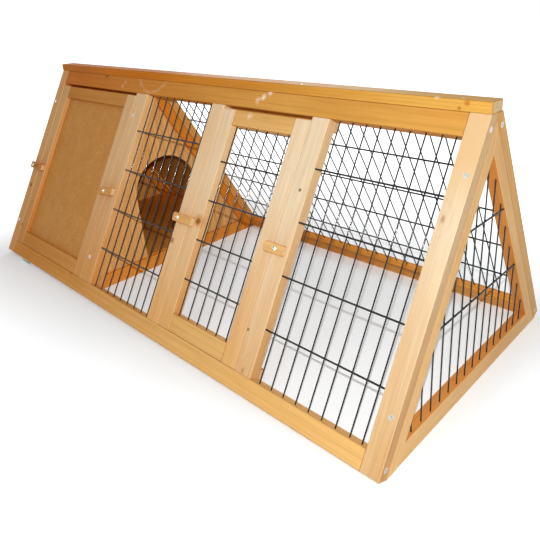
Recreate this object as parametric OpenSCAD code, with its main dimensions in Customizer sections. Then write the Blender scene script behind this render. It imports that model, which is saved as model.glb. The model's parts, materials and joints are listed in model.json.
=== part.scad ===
// Outdoor rabbit run: a long tent of two leaning timber panels on three triangular frames,
// with a closed sleeping compartment at the left end and a wire run at the right.
// Millimetres. X runs along the ridge, the doors face -Y, Z is up, and the run stands on z = 0.

/* [Run] */
// Length of the run along the ridge
run_length = 1185; // [1140:5:1240]
// Width of the open base across the two panels
base_width = 524; // [500:2:560]
// Lean of each long panel from the ground, in degrees
panel_angle = 60; // [58:0.5:62]
// Thickness of the boards of the two long panels
panel_t = 20; // [18:0.5:23]

/* [Panel frames] */
// Width of the four corner stiles
stile_w = 30.6; // [28:0.2:36]
// Height of the bottom rails, measured up the slope
bottom_rail_h = 31; // [28:0.5:36]
// Height of the top rails, measured up the slope
top_rail_h = 33; // [28:0.5:38]
// Width of the front mullion that covers the partition
mullion_1_w = 42.5; // [40:0.5:46]
// Width of the front mullion left of the mesh door
mullion_2_w = 35.3; // [32:0.1:40]
// Width of the front mullion right of the mesh door
mullion_3_w = 36; // [32:0.5:40]
// Clear width of the front mesh bay beside the partition
bay_w = 221; // [205:1:235]
// Width of the rear mullion that covers the partition
rear_mullion_w = 42.5; // [40:0.5:46]

/* [Doors] */
// Width of the solid door of the sleeping compartment
door_1_w = 341.3; // [325:0.1:350]
// Width of the mesh door of the run
door_2_w = 216.6; // [205:0.1:225]
// Thickness of both doors
door_t = 19.6; // [17:0.1:19.7]
// Width of the door stiles
door_stile_w = 33; // [28:0.5:38]
// Height of the doors' bottom rails
door_bottom_h = 32; // [28:0.5:36]
// Height of the doors' top rails
door_top_h = 29; // [26:0.5:34]
// Gap at each side of a door
door_gap = 1.3; // [0.6:0.1:2]
// Gap under a door
door_foot_gap = 0.4; // [0.3:0.1:1]
// Finger gap above a door
finger_gap = 6.3; // [4.5:0.1:8]

/* [Door stops] */
// Height of a stop batten, measured up the slope
stop_h = 28; // [26:0.5:32]
// Thickness of a stop batten
stop_t = 10; // [8:0.5:12]
// Part of a stop batten's height that lies on the rail
stop_on_rail = 13; // [12:0.5:15]

/* [Wire mesh] */
// Diameter of the wires that run up the slope
column_wire = 2.2; // [1.8:0.1:2.6]
// Diameter of the wires that run along the bay
row_wire = 3; // [2.6:0.1:3.4]
// Depth of the upright wires' axes below the outer face
column_depth = 5.5; // [5:0.1:6.5]
// Pitch of the upright wires of the front bays
front_pitch = 25.3; // [20:0.1:30]
// Gap before the last upright wire of a front bay
front_last_gap = 20.7; // [18:0.1:30]
// Pitch of the upright wires of the mesh door
door_pitch = 26.1; // [20:0.1:30]
// Pitch of the upright wires of the rear bay
rear_pitch = 26.6; // [20:0.1:32]
// Pitch of the upright wires of the right end
end_pitch = 25.5; // [20:0.1:30]
// Height of the lowest long wire of the front bays, up the slope
front_row = 112; // [90:1:130]
// Spacing of the long wires of the front bays
front_row_pitch = 87.7; // [70:0.1:110]
// Height of the lowest long wire of the mesh door, up the slope
door_row = 129.4; // [110:0.2:150]
// Spacing of the long wires of the mesh door
door_row_pitch = 74.3; // [60:0.1:90]
// Height of the lowest long wire of the rear bay, up the slope
rear_row = 97; // [80:1:120]
// Spacing of the long wires of the rear bay
rear_row_pitch = 91.3; // [70:0.1:110]
// Height of the lower level wire of the right end above the ground
end_row = 164; // [130:1:180]
// Spacing of the level wires of the right end
end_row_pitch = 118; // [90:1:130]
// Depth of the drilled holes that the wires' ends sit in
wire_bite = 6; // [4:0.5:8]

/* [Triangular frames] */
// Thickness of the triangular frames along the ridge
triangle_t = 20; // [18:0.5:24]
// Width of the sloping members of the two end frames
end_member_w = 22.5; // [20:0.5:26]
// Width of the sloping members of the partition
partition_member_w = 24; // [21:0.5:28]
// Height of the bottom rails of the triangular frames
triangle_rail_h = 31; // [28:0.5:36]
// Distance from the left end of the run to the partition's left face
partition_left = 376; // [374:0.5:378]

/* [Partition] */
// Thickness of the partition's upright boards
plank_t = 9; // [7:0.5:11]
// Width of the pop hole as a share of the base's width
hole_w_share = 0.313; // [0.26:0.001:0.335]
// Height of the pop hole's straight sides as a share of the panels' height
hole_side_share = 0.3343; // [0.28:0.001:0.37]
// Sideways shift of the pop hole from the middle, towards the rear
hole_shift = -5; // [-10:1:10]

/* [Sheets and floor] */
// Thickness of the hardboard sheets
sheet_t = 3.2; // [2.5:0.1:4]
// Depth of a hardboard sheet's outer face below the face of its frame
sheet_depth = 10; // [8:0.5:12]
// How far a sheet or board is let into its frame
tongue = 6; // [4:0.5:8]
// Height of the compartment's floor above the ground
floor_top = 30; // [28:0.5:31]
// Thickness of the compartment's floor board
floor_t = 8; // [6:0.5:10]
// Side of the square cleats under the floor board
cleat = 14; // [12:0.5:16]

/* [Ridge cap] */
// Width of the batten that caps the ridge
cap_w = 30.8; // [28:0.2:34]
// Height of the batten that caps the ridge
cap_h = 16; // [12:0.5:20]
// Length of the short left piece of the cap
cap_left = 221.5; // [180:0.5:280]

/* [Turn buttons] */
// Width of a turn button
button_w = 16.5; // [14:0.5:18]
// Thickness of a turn button
button_t = 9.5; // [8:0.5:12]
// Radius of a turn button's corners
button_corner = 4; // [2:0.5:6]
// Height of the turn buttons' screws, up the slope
button_v = 231; // [220:1:260]

/* [Fasteners] */
// Shank diameter of the long wood screws
screw_d = 4; // [3.5:0.1:4.5]
// Length of the screws through board edges into the ends of other boards
frame_screw_l = 60; // [50:1:66]
// Length of the screws that hold the doors' corners
door_screw_l = 60; // [50:1:66]
// Distance of the panel screws from the top and bottom of the slope
screw_inset = 83; // [70:1:100]
// Shank diameter of the small screws in the stops and cleats
small_screw_d = 3.5; // [3:0.1:4]
// Length of the small screws
small_screw_l = 22; // [20:0.5:26]
// Shank diameter of the cap's nails
nail_d = 2; // [1.6:0.1:2.4]
// Length of the cap's nails
nail_l = 36; // [30:1:38]

/* [Ground clips] */
// Width of a ground clip along the rail
clip_w = 34; // [28:1:40]
// Thickness of a ground clip's steel strip
clip_t = 1.5; // [1.2:0.1:2]
// Distance of a ground clip from the left end of the run to its middle
clip_u = 105; // [80:1:130]

/* [Hidden] */
$fn = 48;

// A panel's board section leans, so its square-cut foot stands on the inner edge
panel_foot = panel_t * cos(panel_angle);
ridge_half = panel_t * sin(panel_angle);
slope = (base_width / 2 - ridge_half) / cos(panel_angle);
ridge_top = panel_foot + slope * sin(panel_angle);
bay_bottom = bottom_rail_h;
bay_top = slope - top_rail_h;

// Places along the front panel, from the left end of the run
opening_1 = stile_w;
mullion_1 = opening_1 + door_1_w + 2 * door_gap;
bay_2 = mullion_1 + mullion_1_w;
mullion_2 = bay_2 + bay_w;
opening_2 = mullion_2 + mullion_2_w;
mullion_3 = opening_2 + door_2_w + 2 * door_gap;
bay_4 = mullion_3 + mullion_3_w;
right_stile = run_length - stile_w;
rear_mullion_lap = 2;
partition_right = partition_left + triangle_t;
partition_mid = partition_left + triangle_t / 2;
rear_mullion_right = partition_right + rear_mullion_lap;
rear_mullion_left = rear_mullion_right - rear_mullion_w;

// Doors, measured up the slope
door_bottom = bay_bottom + door_foot_gap;
door_top = bay_top - finger_gap;
door_open_bottom = door_bottom + door_bottom_h;
door_open_top = door_top - door_top_h;

// Clearances
seat_gap = 0.4;
screw_fit = 0.05;
wire_fit = 0.25;
groove_fit = 0.2;
groove_end = 1;
button_lift = 0.3;

// Mesh
weld_sink = 0.25;
row_depth = column_depth - (column_wire + row_wire) / 2 + weld_sink;
net_edge = 8;
shift_front = 3.7;
shift_door = 1.7;
shift_rear = 7.4;

// Stops, floor and cleats
stop_end_gap = 1;
bottom_stop = bay_bottom - stop_on_rail;
top_stop = bay_top + stop_on_rail - stop_h;
stop_screw_edge = 6.5;
stop_screw_inset = 30;
floor_underside = floor_top - floor_t;
cleat_half = 190;
cleat_screw_y = 120;

// Screws
head_ratio = 2;
head_share = 0.55;
recess_w = 0.9;
recess_share = 0.62;
mouth = 14;
tip_gap = 1.5;
panel_columns = [triangle_t / 2, partition_mid, run_length - triangle_t / 2];
panel_rows = [screw_inset, slope - screw_inset];
panel_screw_l = panel_t + end_member_w - tongue - tip_gap;
mullion_head_sink = 2;
triangle_screw_sink = 8;
apex_screw_rise = 9;
apex_screw_sink = 4;
apex_screw_l = 33;
tip_cut = 4;
nail_inset = 46;
nail_count = 4;
nail_head_h = 1;

// Turn buttons: screw's place along the panel, screw to left end, screw to right end,
// rise above the common height, and tilt as they were left
button_1 = [stile_w - 12.6, 14, 44, 0, 0];
button_2 = [mullion_1 + 5, 26, 29, -1, 8];
button_3 = [mullion_2 + 14, 16.5, 39, 0, 0];
button_4 = [mullion_3 + 14, 25.5, 17.5, 6, 0];
button_screw_depth = 18;
pan_head_d = 8;
pan_head_h = 2.6;
pan_head_rim = 1;
pan_head_top = 4.6;

clip_lip_top = 8.3;
clip_lip_bottom = 1;
clip_flange = 13;
clip_inset = 0.5;

// Height of a surface that lies at a given depth under a panel's outer face
function face_z(y, depth) =
    panel_foot + (base_width / 2 - abs(y)) * tan(panel_angle) - depth / cos(panel_angle);
// Half width at a given height of the space under that surface
function face_y(z, depth) =
    base_width / 2 - (z - panel_foot + depth / cos(panel_angle)) / tan(panel_angle);

// Upright wires between two edges, evenly spaced up to the last gap and shifted off the middle
function column_places(from, to, pitch, last_gap, shift) =
    let (gaps = floor((to - from - 2 * net_edge) / pitch),
         first = (from + to - (gaps - 1) * pitch - last_gap) / 2 + shift)
    [for (i = [0 : gaps]) first + i * pitch + (i < gaps ? 0 : last_gap - pitch)];
// Long wires from a first height up, as far as the bay reaches
function row_places(first, pitch, top) =
    [for (v = [first : pitch : top - net_edge]) v];

// ---- frames of reference ----

// x along the run, y up the slope, z out of the front panel's face
module on_front() {
    translate([-run_length / 2, -base_width / 2, panel_foot])
        rotate([panel_angle, 0, 0])
            children();
}

module on_rear() {
    mirror([0, 1, 0])
        on_front()
            children();
}

// x towards the rear, y up, z out of the right end's face
module on_right_end() {
    translate([run_length / 2, 0, 0])
        rotate([90, 0, 90])
            children();
}

module on_left_end() {
    mirror([1, 0, 0])
        on_right_end()
            children();
}

module on_partition() {
    translate([partition_right - run_length / 2, 0, 0])
        rotate([90, 0, 90])
            children();
}

// ---- fasteners ----

// Countersunk wood screw, head flush with z = 0 and shank down -z
module wood_screw(length, shank_d) {
    head_d = shank_d * head_ratio;
    head_h = shank_d * head_share;
    difference() {
        union() {
            translate([0, 0, -head_h])
                cylinder(h = head_h, d1 = shank_d, d2 = head_d);
            translate([0, 0, -length])
                cylinder(h = length - head_h, d = shank_d);
        }
        for (turn = [0, 90])
            rotate([0, 0, turn])
                cube([head_d * recess_share, recess_w, head_h], center = true);
    }
}

// Hole for the same screw, open above the head by the given length
module screw_hole(length, shank_d, open = mouth) {
    head_d = shank_d * head_ratio + 2 * screw_fit;
    head_h = shank_d * head_share;
    hole_d = shank_d + 2 * screw_fit;
    translate([0, 0, -head_h])
        cylinder(h = head_h, d1 = hole_d, d2 = head_d);
    translate([0, 0, -length - screw_fit])
        cylinder(h = length, d = hole_d);
    cylinder(h = open, d = head_d);
}

// Screws through the faces of a panel, in the columns that lie between two edges
module at_panel_screws(from, to) {
    for (u = panel_columns)
        if (u > from && u < to)
            for (v = panel_rows)
                translate([u, v, 0])
                    children();
}

// Screws through a left edge towards +x, into a bottom and a top rail
module at_left_edge(u, low, high, depth) {
    for (v = [low, high])
        translate([u, v, -depth])
            rotate([0, -90, 0])
                children();
}

module at_right_edge(u, low, high, depth) {
    for (v = [low, high])
        translate([u, v, -depth])
            rotate([0, 90, 0])
                children();
}

// Screws along the slope through the rails into a mullion's two ends
module at_mullion_screws(u) {
    translate([u, 0, -panel_t / 2])
        rotate([90, 0, 0])
            children();
    translate([u, slope - mullion_head_sink, -panel_t / 2])
        rotate([-90, 0, 0])
            children();
}

module at_corner_screws() {
    at_left_edge(0, bottom_rail_h / 2, slope - top_rail_h / 2, panel_t / 2)
        children();
    at_right_edge(run_length, bottom_rail_h / 2, slope - top_rail_h / 2, panel_t / 2)
        children();
}

// Screws of one triangular frame: two at its feet and one across its apex
module at_foot_screws() {
    z = triangle_rail_h / 2;
    for (side = [-1, 1])
        translate([side * (face_y(z, panel_t) - triangle_screw_sink), z, -triangle_t / 2])
            rotate([0, side * 90, 0])
                children();
}

module at_apex_screw(member_w) {
    z = face_z(0, panel_t + member_w) + apex_screw_rise;
    translate([-face_y(z, panel_t) + apex_screw_sink, z, -triangle_t / 2])
        rotate([0, -90, 0])
            children();
}

// ---- parts of the long panels ----

// Board that runs up the slope, from the square foot to the mitre under the cap
module full_board(from, to) {
    translate([from, 0, 0])
        rotate([90, 0, 90])
            linear_extrude(to - from)
                polygon([
                    [0, 0],
                    [slope, 0],
                    [slope + ridge_half * cos(panel_angle), -ridge_half * sin(panel_angle)],
                    [slope, -panel_t],
                    [0, -panel_t]
                ]);
}

module board(from, to, low, high, thickness = panel_t) {
    translate([from, low, -thickness])
        cube([to - from, high - low, thickness]);
}

module top_rail_board() {
    intersection() {
        full_board(stile_w, right_stile);
        translate([0, bay_top, -2 * panel_t])
            cube([run_length, 2 * top_rail_h, 3 * panel_t]);
    }
}

// Short stubs that drill the ends of the upright wires into a rail's edge
module column_holes(places, edge) {
    for (u = places)
        translate([u, edge, -column_depth])
            rotate([90, 0, 0])
                cylinder(h = 2 * (wire_bite + wire_fit), d = column_wire + 2 * wire_fit, center = true);
}

// Short stubs that drill the ends of the long wires into a stile's edge
module row_holes(places, edge) {
    for (v = places)
        translate([edge, v, -row_depth])
            rotate([0, 90, 0])
                cylinder(h = 2 * (wire_bite + wire_fit), d = row_wire + 2 * wire_fit, center = true);
}

// Welded mesh between four edges, with its wires' ends in the drilled holes
module net(columns, rows, from, to, low, high) {
    for (u = columns)
        translate([u, low - wire_bite, -column_depth])
            rotate([-90, 0, 0])
                cylinder(h = high - low + 2 * wire_bite, d = column_wire);
    for (v = rows)
        translate([from - wire_bite, v, -row_depth])
            rotate([0, 90, 0])
                cylinder(h = to - from + 2 * wire_bite, d = row_wire);
}

// Hardboard sheet let into the grooves of its frame, and the box that cuts those grooves
module sheet(from, to, low, high) {
    translate([from - tongue, low - tongue, -sheet_depth - sheet_t])
        cube([to - from + 2 * tongue, high - low + 2 * tongue, sheet_t]);
}

module sheet_groove(from, to, low, high) {
    reach = tongue + groove_end;
    translate([from - reach, low - reach, -sheet_depth - sheet_t - groove_fit])
        cube([to - from + 2 * reach, high - low + 2 * reach, sheet_t + 2 * groove_fit]);
}

left_bay_columns = column_places(bay_2, mullion_2, front_pitch, front_last_gap, shift_front);
right_bay_columns = column_places(bay_4, right_stile, front_pitch, front_last_gap, shift_front);
front_rows = row_places(front_row, front_row_pitch, bay_top);
rear_columns = column_places(rear_mullion_right, right_stile, rear_pitch, rear_pitch, shift_rear);
rear_rows = row_places(rear_row, rear_row_pitch, bay_top);

// ---- front panel ----

module front_left_stile() {
    color("burlywood")
        on_front()
            difference() {
                full_board(0, stile_w);
                at_panel_screws(0, stile_w)
                    screw_hole(panel_screw_l, screw_d);
                at_left_edge(0, bottom_rail_h / 2, slope - top_rail_h / 2, panel_t / 2)
                    screw_hole(frame_screw_l, screw_d);
                button_screw_hole(button_1);
            }
}

module front_right_stile() {
    color("burlywood")
        on_front()
            difference() {
                full_board(right_stile, run_length);
                at_panel_screws(right_stile, run_length)
                    screw_hole(panel_screw_l, screw_d);
                at_right_edge(run_length, bottom_rail_h / 2, slope - top_rail_h / 2, panel_t / 2)
                    screw_hole(frame_screw_l, screw_d);
                row_holes(front_rows, right_stile);
            }
}

module front_top_rail() {
    color("goldenrod")
        on_front()
            difference() {
                top_rail_board();
                at_corner_screws()
                    screw_hole(frame_screw_l, screw_d);
                for (u = front_mullion_middles)
                    at_mullion_screws(u)
                        screw_hole(frame_screw_l, screw_d);
                column_holes(left_bay_columns, bay_top);
                column_holes(right_bay_columns, bay_top);
                for (opening = [[opening_1, mullion_1], [opening_2, mullion_3]])
                    at_stop_screws(opening)
                        screw_hole(small_screw_l, small_screw_d);
                nail_holes();
            }
}

module front_bottom_rail() {
    color("peru")
        on_front()
            difference() {
                board(stile_w, right_stile, 0, bottom_rail_h);
                at_corner_screws()
                    screw_hole(frame_screw_l, screw_d);
                for (u = front_mullion_middles)
                    at_mullion_screws(u)
                        screw_hole(frame_screw_l, screw_d);
                column_holes(left_bay_columns, bay_bottom);
                column_holes(right_bay_columns, bay_bottom);
                for (opening = [[opening_1, mullion_1], [opening_2, mullion_3]])
                    at_stop_screws(opening)
                        screw_hole(small_screw_l, small_screw_d);
            }
}

front_mullion_middles = [
    mullion_1 + mullion_1_w / 2,
    mullion_2 + mullion_2_w / 2,
    mullion_3 + mullion_3_w / 2
];

module mullion(from, width) {
    difference() {
        board(from, from + width, bay_bottom, bay_top);
        at_mullion_screws(from + width / 2)
            screw_hole(frame_screw_l, screw_d);
        at_panel_screws(from, from + width)
            screw_hole(panel_screw_l, screw_d);
    }
}

module front_mullion_1() {
    color("burlywood")
        on_front()
            difference() {
                mullion(mullion_1, mullion_1_w);
                row_holes(front_rows, bay_2);
                button_screw_hole(button_2);
            }
}

module front_mullion_2() {
    color("burlywood")
        on_front()
            difference() {
                mullion(mullion_2, mullion_2_w);
                row_holes(front_rows, mullion_2);
                button_screw_hole(button_3);
            }
}

module front_mullion_3() {
    color("burlywood")
        on_front()
            difference() {
                mullion(mullion_3, mullion_3_w);
                row_holes(front_rows, bay_4);
                button_screw_hole(button_4);
            }
}

module front_mesh_left() {
    color("darkslategray")
        on_front()
            net(left_bay_columns, front_rows, bay_2, mullion_2, bay_bottom, bay_top);
}

module front_mesh_right() {
    color("darkslategray")
        on_front()
            net(right_bay_columns, front_rows, bay_4, right_stile, bay_bottom, bay_top);
}

// ---- doors ----

// A door's left edge, and the clear opening inside its four members
door_1_left = opening_1 + door_gap;
door_2_left = opening_2 + door_gap;
door_1_inside = [door_1_left + door_stile_w, door_1_left + door_1_w - door_stile_w];
door_2_inside = [door_2_left + door_stile_w, door_2_left + door_2_w - door_stile_w];
door_columns = column_places(door_2_inside[0], door_2_inside[1], door_pitch, door_pitch, shift_door);
door_rows = row_places(door_row, door_row_pitch, door_open_top);
door_low_screw = door_bottom + door_bottom_h / 2;
door_high_screw = door_top - door_top_h / 2;

module door_board(from, to, low, high) {
    board(from, to, low, high, door_t);
}

module at_door_screws(left, width) {
    at_left_edge(left, door_low_screw, door_high_screw, door_t / 2)
        children();
    at_right_edge(left + width, door_low_screw, door_high_screw, door_t / 2)
        children();
}

module door_1_left_stile() {
    color("burlywood")
        on_front()
            difference() {
                door_board(door_1_left, door_1_inside[0], door_bottom, door_top);
                at_door_screws(door_1_left, door_1_w)
                    screw_hole(door_screw_l, screw_d);
                sheet_groove(door_1_inside[0], door_1_inside[1], door_open_bottom, door_open_top);
            }
}

module door_1_right_stile() {
    color("burlywood")
        on_front()
            difference() {
                door_board(door_1_inside[1], door_1_left + door_1_w, door_bottom, door_top);
                at_door_screws(door_1_left, door_1_w)
                    screw_hole(door_screw_l, screw_d);
                sheet_groove(door_1_inside[0], door_1_inside[1], door_open_bottom, door_open_top);
            }
}

module door_1_top_rail() {
    color("peru")
        on_front()
            difference() {
                door_board(door_1_inside[0], door_1_inside[1], door_open_top, door_top);
                at_door_screws(door_1_left, door_1_w)
                    screw_hole(door_screw_l, screw_d);
                sheet_groove(door_1_inside[0], door_1_inside[1], door_open_bottom, door_open_top);
            }
}

module door_1_bottom_rail() {
    color("peru")
        on_front()
            difference() {
                door_board(door_1_inside[0], door_1_inside[1], door_bottom, door_open_bottom);
                at_door_screws(door_1_left, door_1_w)
                    screw_hole(door_screw_l, screw_d);
                sheet_groove(door_1_inside[0], door_1_inside[1], door_open_bottom, door_open_top);
            }
}

module door_1_panel() {
    color("sienna")
        on_front()
            sheet(door_1_inside[0], door_1_inside[1], door_open_bottom, door_open_top);
}

module door_1_screws() {
    color("silver")
        on_front()
            at_door_screws(door_1_left, door_1_w)
                wood_screw(door_screw_l, screw_d);
}

module door_2_left_stile() {
    color("burlywood")
        on_front()
            difference() {
                door_board(door_2_left, door_2_inside[0], door_bottom, door_top);
                at_door_screws(door_2_left, door_2_w)
                    screw_hole(door_screw_l, screw_d);
                row_holes(door_rows, door_2_inside[0]);
            }
}

module door_2_right_stile() {
    color("burlywood")
        on_front()
            difference() {
                door_board(door_2_inside[1], door_2_left + door_2_w, door_bottom, door_top);
                at_door_screws(door_2_left, door_2_w)
                    screw_hole(door_screw_l, screw_d);
                row_holes(door_rows, door_2_inside[1]);
            }
}

module door_2_top_rail() {
    color("goldenrod")
        on_front()
            difference() {
                door_board(door_2_inside[0], door_2_inside[1], door_open_top, door_top);
                at_door_screws(door_2_left, door_2_w)
                    screw_hole(door_screw_l, screw_d);
                column_holes(door_columns, door_open_top);
            }
}

module door_2_bottom_rail() {
    color("peru")
        on_front()
            difference() {
                door_board(door_2_inside[0], door_2_inside[1], door_bottom, door_open_bottom);
                at_door_screws(door_2_left, door_2_w)
                    screw_hole(door_screw_l, screw_d);
                column_holes(door_columns, door_open_bottom);
            }
}

module door_2_mesh() {
    color("darkslategray")
        on_front()
            net(door_columns, door_rows, door_2_inside[0], door_2_inside[1],
                door_open_bottom, door_open_top);
}

module door_2_screws() {
    color("silver")
        on_front()
            at_door_screws(door_2_left, door_2_w)
                wood_screw(door_screw_l, screw_d);
}

// ---- stops behind the doors ----

// Screws that hold the stops, driven outwards from behind into the rails
module at_stop_screws(opening) {
    for (v = [bottom_stop + stop_screw_edge, top_stop + stop_h - stop_screw_edge])
        for (u = [opening[0] + stop_screw_inset, opening[1] - stop_screw_inset])
            translate([u, v, -panel_t - stop_t])
                rotate([180, 0, 0])
                    children();
}

module stop_pair(from, to, opening) {
    difference() {
        for (low = [bottom_stop, top_stop])
            translate([from + stop_end_gap, low, -panel_t - stop_t])
                cube([to - from - 2 * stop_end_gap, stop_h, stop_t]);
        at_stop_screws(opening)
            screw_hole(small_screw_l, small_screw_d);
    }
}

module door_stops() {
    color("saddlebrown")
        on_front() {
            stop_pair(triangle_t, partition_left, [opening_1, mullion_1]);
            stop_pair(mullion_2, bay_4, [opening_2, mullion_3]);
        }
}

// ---- rear panel ----

module rear_left_stile() {
    color("peru")
        on_rear()
            difference() {
                full_board(0, stile_w);
                at_panel_screws(0, stile_w)
                    screw_hole(panel_screw_l, screw_d);
                at_corner_screws()
                    screw_hole(frame_screw_l, screw_d);
                sheet_groove(stile_w, rear_mullion_left, bay_bottom, bay_top);
            }
}

module rear_right_stile() {
    color("peru")
        on_rear()
            difference() {
                full_board(right_stile, run_length);
                at_panel_screws(right_stile, run_length)
                    screw_hole(panel_screw_l, screw_d);
                at_corner_screws()
                    screw_hole(frame_screw_l, screw_d);
                row_holes(rear_rows, right_stile);
            }
}

module rear_top_rail() {
    color("goldenrod")
        on_rear()
            difference() {
                top_rail_board();
                at_corner_screws()
                    screw_hole(frame_screw_l, screw_d);
                at_mullion_screws(rear_mullion_right - rear_mullion_w / 2)
                    screw_hole(frame_screw_l, screw_d);
                column_holes(rear_columns, bay_top);
                sheet_groove(stile_w, rear_mullion_left, bay_bottom, bay_top);
            }
}

module rear_bottom_rail() {
    color("peru")
        on_rear()
            difference() {
                board(stile_w, right_stile, 0, bottom_rail_h);
                at_corner_screws()
                    screw_hole(frame_screw_l, screw_d);
                at_mullion_screws(rear_mullion_right - rear_mullion_w / 2)
                    screw_hole(frame_screw_l, screw_d);
                column_holes(rear_columns, bay_bottom);
                sheet_groove(stile_w, rear_mullion_left, bay_bottom, bay_top);
            }
}

module rear_mullion() {
    color("peru")
        on_rear()
            difference() {
                mullion(rear_mullion_left, rear_mullion_w);
                row_holes(rear_rows, rear_mullion_right);
                sheet_groove(stile_w, rear_mullion_left, bay_bottom, bay_top);
            }
}

module rear_panel() {
    color("sienna")
        on_rear()
            sheet(stile_w, rear_mullion_left, bay_bottom, bay_top);
}

module rear_mesh() {
    color("darkslategray")
        on_rear()
            net(rear_columns, rear_rows, rear_mullion_right, right_stile, bay_bottom, bay_top);
}

// ---- triangular frames ----

// Front sloping member, between the ground and the mitre at the apex
module sloping_member(member_w) {
    inner = panel_t + member_w;
    translate([0, 0, -triangle_t])
        linear_extrude(triangle_t)
            polygon([
                [-face_y(0, panel_t), 0],
                [0, face_z(0, panel_t)],
                [0, face_z(0, inner)],
                [-face_y(0, inner), 0]
            ]);
}

module triangle_rail(member_w) {
    inner = panel_t + member_w;
    translate([0, 0, -triangle_t])
        linear_extrude(triangle_t)
            polygon([
                [-face_y(0, inner), 0],
                [face_y(0, inner), 0],
                [face_y(triangle_rail_h, inner), triangle_rail_h],
                [-face_y(triangle_rail_h, inner), triangle_rail_h]
            ]);
}

// Triangle inside the members, let into them all round by the given reach,
// with its tip cut off under the screw across the apex
module triangle_filling(member_w, reach, thickness) {
    depth = panel_t + member_w - reach;
    low = triangle_rail_h - reach;
    top = face_z(0, panel_t + member_w) + reach - tip_cut;
    translate([0, 0, -triangle_t / 2 - thickness / 2])
        linear_extrude(thickness)
            polygon([
                [-face_y(low, depth), low],
                [face_y(low, depth), low],
                [face_y(top, depth), top],
                [-face_y(top, depth), top]
            ]);
}

// Holes that every member of a triangular frame shares with its screws
module triangle_bores(member_w) {
    at_foot_screws()
        screw_hole(frame_screw_l, screw_d);
    at_apex_screw(member_w)
        screw_hole(apex_screw_l, screw_d);
}

module left_end_front_member() {
    color("peru")
        difference() {
            on_left_end()
                difference() {
                    sloping_member(end_member_w);
                    triangle_bores(end_member_w);
                    triangle_filling(end_member_w, tongue + groove_end, sheet_t + 2 * groove_fit);
                }
            on_front()
                at_panel_screws(0, triangle_t)
                    screw_hole(panel_screw_l, screw_d);
        }
}

module left_end_rear_member() {
    color("peru")
        difference() {
            on_left_end()
                difference() {
                    mirror([1, 0, 0])
                        sloping_member(end_member_w);
                    triangle_bores(end_member_w);
                    triangle_filling(end_member_w, tongue + groove_end, sheet_t + 2 * groove_fit);
                }
            on_rear()
                at_panel_screws(0, triangle_t)
                    screw_hole(panel_screw_l, screw_d);
        }
}

module left_end_bottom_rail() {
    color("peru")
        difference() {
            on_left_end()
                difference() {
                    triangle_rail(end_member_w);
                    triangle_bores(end_member_w);
                    triangle_filling(end_member_w, tongue + groove_end, sheet_t + 2 * groove_fit);
                }
            at_left_cleat_screws()
                screw_hole(small_screw_l, small_screw_d);
        }
}

module left_end_panel() {
    color("sienna")
        on_left_end()
            triangle_filling(end_member_w, tongue, sheet_t);
}

end_inner = panel_t + end_member_w;
end_row_room = 50;
end_rows = [for (z = [end_row : end_row_pitch : face_z(0, end_inner) - end_row_room]) z];
end_count = floor((face_y(triangle_rail_h + 2 * net_edge, end_inner)) / end_pitch);
end_columns = [for (i = [-end_count : end_count]) i * end_pitch];

// Drilled seats of the right end's upright wires in the sloping members and the bottom rail
module end_column_holes(low_edge, high_edge) {
    for (y = end_columns) {
        if (high_edge)
            translate([y, face_z(y, end_inner) - wire_bite, -column_depth])
                rotate([-90, 0, 0])
                    cylinder(h = 2 * wire_bite + wire_fit, d = column_wire + 2 * wire_fit);
        if (low_edge)
            translate([y, triangle_rail_h - wire_bite - wire_fit, -column_depth])
                rotate([-90, 0, 0])
                    cylinder(h = 2 * wire_bite, d = column_wire + 2 * wire_fit);
    }
}

module end_row_holes() {
    for (z = end_rows)
        for (side = [-1, 1])
            translate([side * face_y(z, end_inner), z, -row_depth])
                rotate([0, 90, 0])
                    cylinder(h = 2 * (wire_bite + wire_fit), d = row_wire + 2 * wire_fit,
                             center = true);
}

module right_end_front_member() {
    color("peru")
        difference() {
            on_right_end()
                difference() {
                    sloping_member(end_member_w);
                    triangle_bores(end_member_w);
                    end_column_holes(false, true);
                    end_row_holes();
                }
            on_front()
                at_panel_screws(right_stile, run_length)
                    screw_hole(panel_screw_l, screw_d);
        }
}

module right_end_rear_member() {
    color("peru")
        difference() {
            on_right_end()
                difference() {
                    mirror([1, 0, 0])
                        sloping_member(end_member_w);
                    triangle_bores(end_member_w);
                    end_column_holes(false, true);
                    end_row_holes();
                }
            on_rear()
                at_panel_screws(right_stile, run_length)
                    screw_hole(panel_screw_l, screw_d);
        }
}

module right_end_bottom_rail() {
    color("peru")
        on_right_end()
            difference() {
                triangle_rail(end_member_w);
                triangle_bores(end_member_w);
                end_column_holes(true, false);
            }
}

module right_end_mesh() {
    low = triangle_rail_h - wire_bite;
    color("darkslategray")
        on_right_end() {
            for (y = end_columns)
                translate([y, low, -column_depth])
                    rotate([-90, 0, 0])
                        cylinder(h = face_z(y, end_inner) + wire_bite - low, d = column_wire);
            for (z = end_rows)
                translate([-face_y(z, end_inner) - wire_bite, z, -row_depth])
                    rotate([0, 90, 0])
                        cylinder(h = 2 * (face_y(z, end_inner) + wire_bite), d = row_wire);
        }
}

// ---- partition ----

plank_count = 5;
hole_radius = base_width * hole_w_share / 2;
hole_spring = triangle_rail_h + ridge_top * hole_side_share;
plank_w = 2 * face_y(triangle_rail_h, panel_t + partition_member_w) / plank_count;

// Space of the pop hole: straight sides from the bottom rail up to a round top
module pop_hole() {
    translate([hole_shift, 0, -triangle_t])
        linear_extrude(triangle_t) {
            translate([0, hole_spring])
                circle(r = hole_radius);
            translate([-hole_radius, 0])
                square([2 * hole_radius, hole_spring]);
        }
}

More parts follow.
